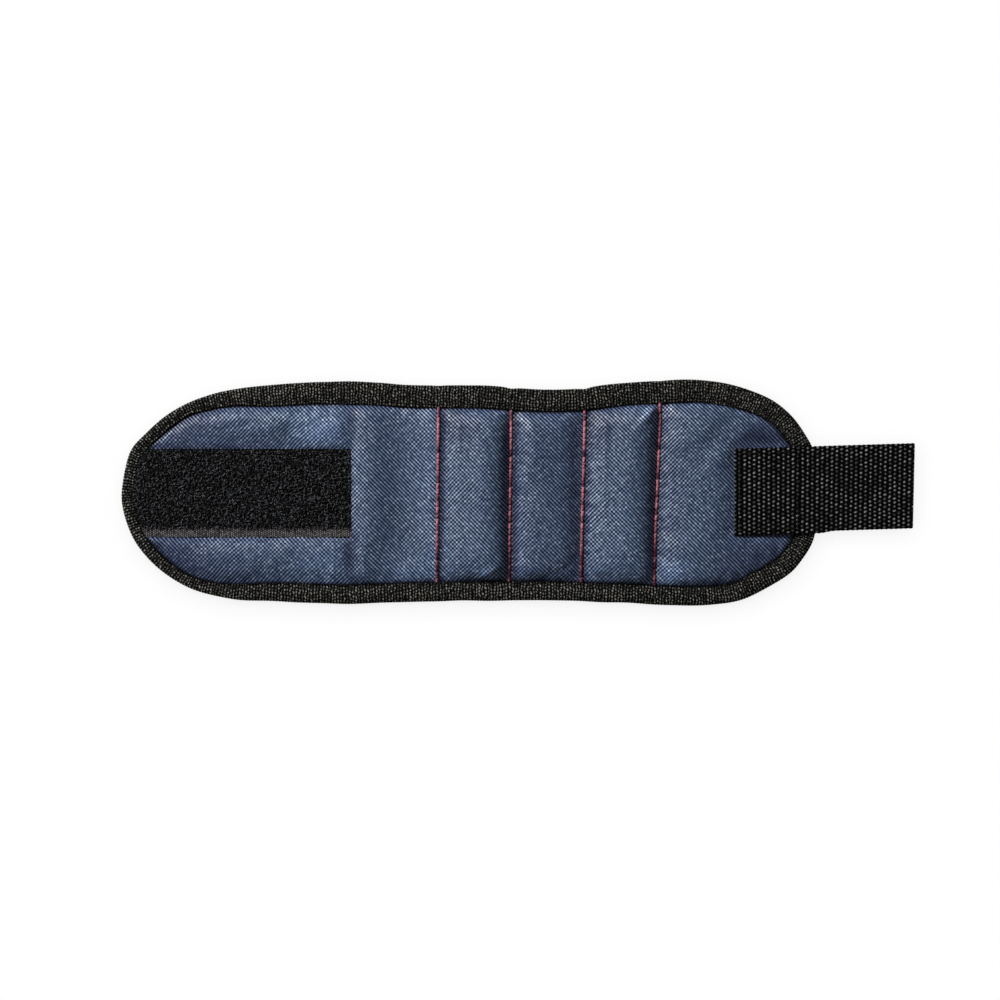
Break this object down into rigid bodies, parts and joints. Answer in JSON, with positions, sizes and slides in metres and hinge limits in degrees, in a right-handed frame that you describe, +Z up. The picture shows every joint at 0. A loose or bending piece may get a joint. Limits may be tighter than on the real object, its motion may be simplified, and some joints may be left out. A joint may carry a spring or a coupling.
{
  "type": "magnetic wristband",
  "caption": "Quilted cloth wristband with magnets in sewn pockets, a loop patch on one end and a webbing strap with hook tape on the other, flexing at its folds.",
  "frame": {"origin": "under the middle of the whole length, half way across, on the surface that the band lies on", "axes": "+X along the band towards the strap, +Y across it, +Z up, away from the wrist"},
  "size_m": [0.3424, 0.0974, 0.0084],
  "materials": {
    "cover_cloth": "dark blue-grey coated polyester oxford, plain weave, slight sheen",
    "lining_mesh": "black foam-backed air mesh",
    "binding_tape": "black ribbed polyester binding tape",
    "loop_tape": "black unnapped nylon loop",
    "webbing": "black heavy two-ply polyester webbing",
    "hook_tape": "black nylon hook",
    "carrier_foam": "off-white closed-cell EVA foam",
    "magnet_plate": "nickel-plated neodymium disc"
  },
  "bodies": {
    "panel_loop_tip": {"cover_loop_tip": "cover_cloth", "lining_loop_tip": "lining_mesh", "binding_loop_tip": "binding_tape", "loop_tape_tip": "loop_tape"},
    "panel_loop_middle": {"cover_loop_middle": "cover_cloth", "lining_loop_middle": "lining_mesh", "binding_upper_loop_middle": "binding_tape", "binding_lower_loop_middle": "binding_tape", "loop_tape_middle": "loop_tape"},
    "panel_loop_inner": {"cover_loop_inner": "cover_cloth", "lining_loop_inner": "lining_mesh", "binding_upper_loop_inner": "binding_tape", "binding_lower_loop_inner": "binding_tape", "loop_tape_inner": "loop_tape"},
    "panel_neck": {"cover_neck": "cover_cloth", "lining_neck": "lining_mesh", "binding_upper_neck": "binding_tape", "binding_lower_neck": "binding_tape"},
    "panel_pocket_1": {"cover_pocket_1": "cover_cloth", "lining_pocket_1": "lining_mesh", "binding_upper_pocket_1": "binding_tape", "binding_lower_pocket_1": "binding_tape", "magnet_carrier_1": "carrier_foam", "magnet_1_1": "magnet_plate", "magnet_1_2": "magnet_plate", "magnet_1_3": "magnet_plate", "magnet_1_4": "magnet_plate", "magnet_1_5": "magnet_plate"},
    "panel_pocket_2": {"cover_pocket_2": "cover_cloth", "lining_pocket_2": "lining_mesh", "binding_upper_pocket_2": "binding_tape", "binding_lower_pocket_2": "binding_tape", "magnet_carrier_2": "carrier_foam", "magnet_2_1": "magnet_plate", "magnet_2_2": "magnet_plate", "magnet_2_3": "magnet_plate", "magnet_2_4": "magnet_plate", "magnet_2_5": "magnet_plate"},
    "panel_pocket_3": {"cover_pocket_3": "cover_cloth", "lining_pocket_3": "lining_mesh", "binding_upper_pocket_3": "binding_tape", "binding_lower_pocket_3": "binding_tape", "magnet_carrier_3": "carrier_foam", "magnet_3_1": "magnet_plate", "magnet_3_2": "magnet_plate", "magnet_3_3": "magnet_plate", "magnet_3_4": "magnet_plate", "magnet_3_5": "magnet_plate"},
    "panel_flank": {"cover_flank": "cover_cloth", "lining_flank": "lining_mesh", "binding_upper_flank": "binding_tape", "binding_lower_flank": "binding_tape"},
    "panel_strap_end": {"cover_strap_end": "cover_cloth", "lining_strap_end": "lining_mesh", "binding_strap_end": "binding_tape", "strap_sewn": "webbing"},
    "free_tail": {"strap_tail": "webbing", "hook_tape": "hook_tape"}
  },
  "joints": [
    {"name": "fold_loop_tip", "type": "hinge", "parent": "panel_loop_middle", "child": "panel_loop_tip", "pos_m": [-0.13808, 0, 0.00195], "axis": [0, -1, 0], "range_deg": [-25, 48.3]},
    {"name": "fold_loop_middle", "type": "hinge", "parent": "panel_loop_inner", "child": "panel_loop_middle", "pos_m": [-0.10512, 0, 0.00195], "axis": [0, -1, 0], "range_deg": [-25, 49.5]},
    {"name": "fold_beside_loop", "type": "hinge", "parent": "panel_neck", "child": "panel_loop_inner", "pos_m": [-0.07055, 0, 0.00195], "axis": [0, -1, 0], "range_deg": [-25, 48.3]},
    {"name": "fold_row_1", "type": "hinge", "parent": "panel_pocket_1", "child": "panel_neck", "pos_m": [-0.03475, 0, 0.00195], "axis": [0, -1, 0], "range_deg": [-25, 44.9]},
    {"name": "fold_row_2", "type": "hinge", "parent": "panel_pocket_2", "child": "panel_pocket_1", "pos_m": [-0.00325, 0, 0.00195], "axis": [0, -1, 0], "range_deg": [-25, 42]},
    {"name": "fold_row_3", "type": "hinge", "parent": "panel_pocket_2", "child": "panel_pocket_3", "pos_m": [0.02825, 0, 0.00195], "axis": [0, 1, 0], "range_deg": [-25, 40.8]},
    {"name": "fold_row_4", "type": "hinge", "parent": "panel_pocket_3", "child": "panel_flank", "pos_m": [0.05975, 0, 0.00195], "axis": [0, 1, 0], "range_deg": [-25, 41.7]},
    {"name": "fold_beside_strap", "type": "hinge", "parent": "panel_flank", "child": "panel_strap_end", "pos_m": [0.09165, 0, 0.00195], "axis": [0, 1, 0], "range_deg": [-25, 44.5]},
    {"name": "fold_strap_root", "type": "hinge", "parent": "panel_strap_end", "child": "free_tail", "pos_m": [0.13025, 0, 0.00475], "axis": [0, 1, 0], "range_deg": [-25, 48.3]}
  ]
}
